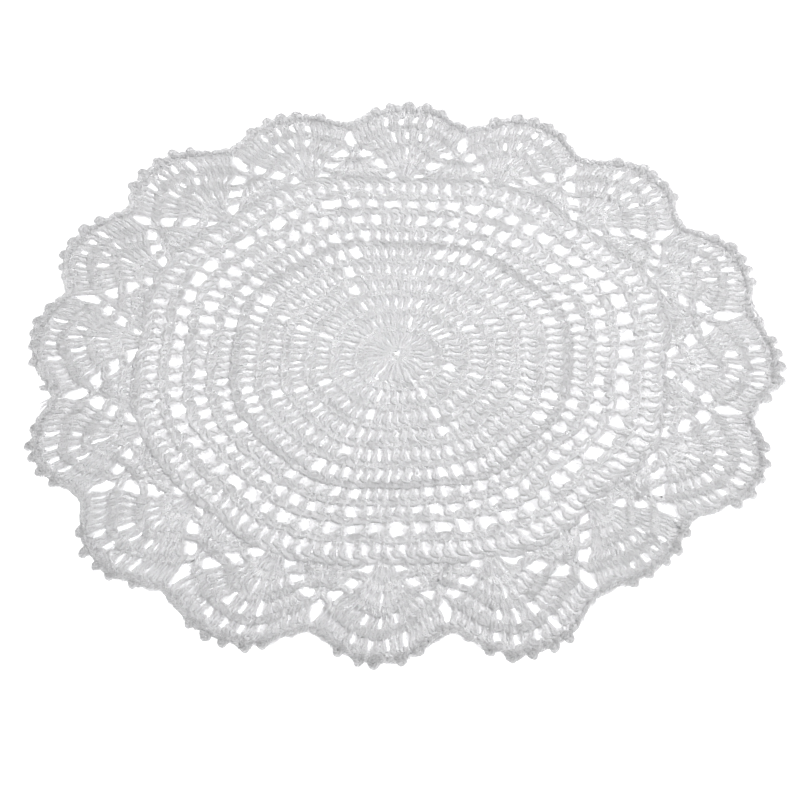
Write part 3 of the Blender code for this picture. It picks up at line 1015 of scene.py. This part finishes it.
def camera_matrix():
    """The camera's place and turn, from its angle over the table, its roll and its aim.

    The table's X, Y and Z are written in the camera's own axes, which are right, down and forward. The camera
    stands VIEW_DISTANCE back along the ray on which the lace's middle lies.
    """
    elevation = np.radians(VIEW_ELEVATION)
    roll = np.radians(VIEW_ROLL)
    flat = np.cos(elevation)
    table_up = np.array([np.sin(roll) * flat, -np.cos(roll) * flat, -np.sin(elevation)])
    table_right = np.array([np.cos(roll), np.sin(roll), 0.0])
    table_away = np.cross(table_up, table_right)
    axes = np.stack([table_right, table_away, table_up], axis=1)
    reach = SENSOR / LENS
    ray = np.array([AIM_X * reach, -AIM_Y * reach, 1.0])
    eye = -axes.T @ (ray * VIEW_DISTANCE / np.linalg.norm(ray))
    turn = np.stack([axes[0], -axes[1], -axes[2]], axis=1)
    matrix = Matrix(turn.tolist()).to_4x4()
    matrix.translation = Vector(eye.tolist())
    return matrix


def key_light(power):
    """A large square soft light that faces the middle of the lace."""
    data = bpy.data.lights.new("key_light", "AREA")
    data.shape = "SQUARE"
    data.size = KEY_SIDE
    data.energy = power
    light = bpy.data.objects.new("key_light", data)
    light.location = KEY_SPOT
    light.rotation_euler = (-Vector(KEY_SPOT)).to_track_quat("-Z", "Y").to_euler()
    bpy.context.scene.collection.objects.link(light)


# ---- the add-on

class LaceSettings(bpy.types.PropertyGroup):
    """Sizes and colours of the lace and its stage."""

    thread: bpy.props.FloatProperty(
        name="Thread",
        description="Thickness of the crochet thread",
        default=0.53 * SHEET_HEIGHT,
        min=0.0004,
        max=0.002,
        precision=5,
        subtype="DISTANCE",
        unit="LENGTH",
    )
    picot: bpy.props.FloatProperty(
        name="Picot",
        description="Height of the small knots along the edge",
        default=0.0031,
        min=0.001,
        max=0.008,
        precision=5,
        subtype="DISTANCE",
        unit="LENGTH",
    )
    cotton: bpy.props.FloatVectorProperty(
        name="Cotton",
        description="Colour of the thread",
        subtype="COLOR",
        size=3,
        min=0.0,
        max=1.0,
        default=(0.950, 0.947, 0.960),
    )
    floor: bpy.props.FloatVectorProperty(
        name="Floor",
        description="Colour of the floor",
        subtype="COLOR",
        size=3,
        min=0.0,
        max=1.0,
        default=(0.92, 0.92, 0.92),
    )
    glow: bpy.props.FloatProperty(
        name="Floor glow",
        description="How much light the floor gives by itself",
        default=0.85,
        min=0.0,
        max=2.0,
    )
    key: bpy.props.FloatProperty(
        name="Key light",
        description="Power of the large soft light, behind the lace and to its right",
        default=3.87,
        min=0.0,
        subtype="POWER",
        unit="POWER",
    )
    sky: bpy.props.FloatProperty(
        name="Sky light",
        description="Strength of the even light all round",
        default=0.40,
        min=0.0,
        max=5.0,
    )


def middle_rounds():
    """Patches of the ten middle rounds, the same at every call."""
    chance = np.random.default_rng(SEED)
    return [round_patches(number, chance) for number in range(1, len(ROUNDS) + 1)]


def border_rounds():
    """Patches of the four border rounds and the edging, the same at every call."""
    chance = np.random.default_rng(SEED + 1)
    rounds = [border_patches(below, row, chance) for below, row in zip(BORDER, BORDER[1:])]
    return rounds + [edging_patches(chance)]


class LACE_OT_middle(bpy.types.Operator):
    """Crochet the ten rounds of the middle"""

    bl_idname = "lace.middle"
    bl_label = "Middle Rounds"

    def execute(self, context):
        chance = np.random.default_rng(SEED + 2)
        thread_pieces(MIDDLE_PIECES, middle_rounds(), context.scene.lace, chance)
        return {"FINISHED"}


class LACE_OT_border(bpy.types.Operator):
    """Crochet the four rounds of fans and leaves"""

    bl_idname = "lace.border"
    bl_label = "Fans and Leaves"

    def execute(self, context):
        chance = np.random.default_rng(SEED + 3)
        thread_pieces(FAN_PIECES, border_rounds(), context.scene.lace, chance)
        return {"FINISHED"}


class LACE_OT_edging(bpy.types.Operator):
    """Crochet the edging, its picots and the loose ends beside it"""

    bl_idname = "lace.edging"
    bl_label = "Picot Edging"

    def execute(self, context):
        sizes = context.scene.lace
        chance = np.random.default_rng(SEED + 4)
        thread_pieces(EDGING_PIECES, border_rounds(), sizes, chance, edge_with_painted_shade=True)
        picot_piece(sizes, chance)
        loose_piece(sizes)
        return {"FINISHED"}


class LACE_OT_ground(bpy.types.Operator):
    bl_idname = "lace.ground"
    bl_label = "Fibre Ground"

    def execute(self, context):
        chance = np.random.default_rng(SEED + 5)
        ground = ground_piece(middle_rounds() + border_rounds(), context.scene.lace, chance)
        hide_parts("doily")
        threads = [piece for piece in context.scene.objects if piece.name.startswith("doily_")]
        threads.remove(ground)
        if len(threads) != THREAD_PIECES:
            raise RuntimeError("crochet the rounds before the ground")
        return {"FINISHED"}


class LACE_OT_stage(bpy.types.Operator):
    """Set out the floor, the lights and the camera"""

    bl_idname = "lace.stage"
    bl_label = "Stage"

    def execute(self, context):
        scene = context.scene
        sizes = scene.lace
        half = FLOOR_SIDE / 2.0
        mesh = bpy.data.meshes.new("floor")
        corners = [(-half, -half, 0.0), (half, -half, 0.0), (half, half, 0.0), (-half, half, 0.0)]
        mesh.from_pydata(corners, [], [(0, 1, 2, 3)])
        mesh.materials.append(floor_material(sizes))
        floor = bpy.data.objects.new("floor", mesh)
        scene.collection.objects.link(floor)
        world = bpy.data.worlds.new("even_light")
        world.use_nodes = True
        sky = world.node_tree.nodes["Background"].inputs
        sky["Color"].default_value = (1.0, 1.0, 1.0, 1.0)
        sky["Strength"].default_value = sizes.sky
        scene.world = world
        key_light(sizes.key)
        camera = bpy.data.objects.new("camera", bpy.data.cameras.new("camera"))
        camera.data.lens = LENS
        camera.data.sensor_width = SENSOR
        camera.matrix_world = camera_matrix()
        scene.collection.objects.link(camera)
        scene.camera = camera
        scene.view_settings.view_transform = "Standard"
        return {"FINISHED"}


class LACE_PT_panel(bpy.types.Panel):
    """The lace's settings and steps"""

    bl_idname = "LACE_PT_panel"
    bl_label = "Lace Doily"
    bl_space_type = "VIEW_3D"
    bl_region_type = "UI"
    bl_category = "Lace"

    def draw(self, context):
        for name in LaceSettings.__annotations__:
            self.layout.prop(context.scene.lace, name)
        for operator in OPERATORS:
            self.layout.operator(operator.bl_idname)


OPERATORS = (LACE_OT_middle, LACE_OT_border, LACE_OT_edging, LACE_OT_ground, LACE_OT_stage)
CLASSES = (LaceSettings, *OPERATORS, LACE_PT_panel)


def register():
    """Add the settings, the operators and the panel to Blender."""
    for each in CLASSES:
        bpy.utils.register_class(each)
    bpy.types.Scene.lace = bpy.props.PointerProperty(type=LaceSettings)


def unregister():
    """Take them out again."""
    del bpy.types.Scene.lace
    for each in reversed(CLASSES):
        bpy.utils.unregister_class(each)


def main():
    """Make the lace and its stage."""
    register()
    bpy.ops.lace.middle()
    bpy.ops.lace.border()
    bpy.ops.lace.edging()
    bpy.ops.lace.ground()
    bpy.ops.lace.stage()


if __name__ == "__main__":
    main()
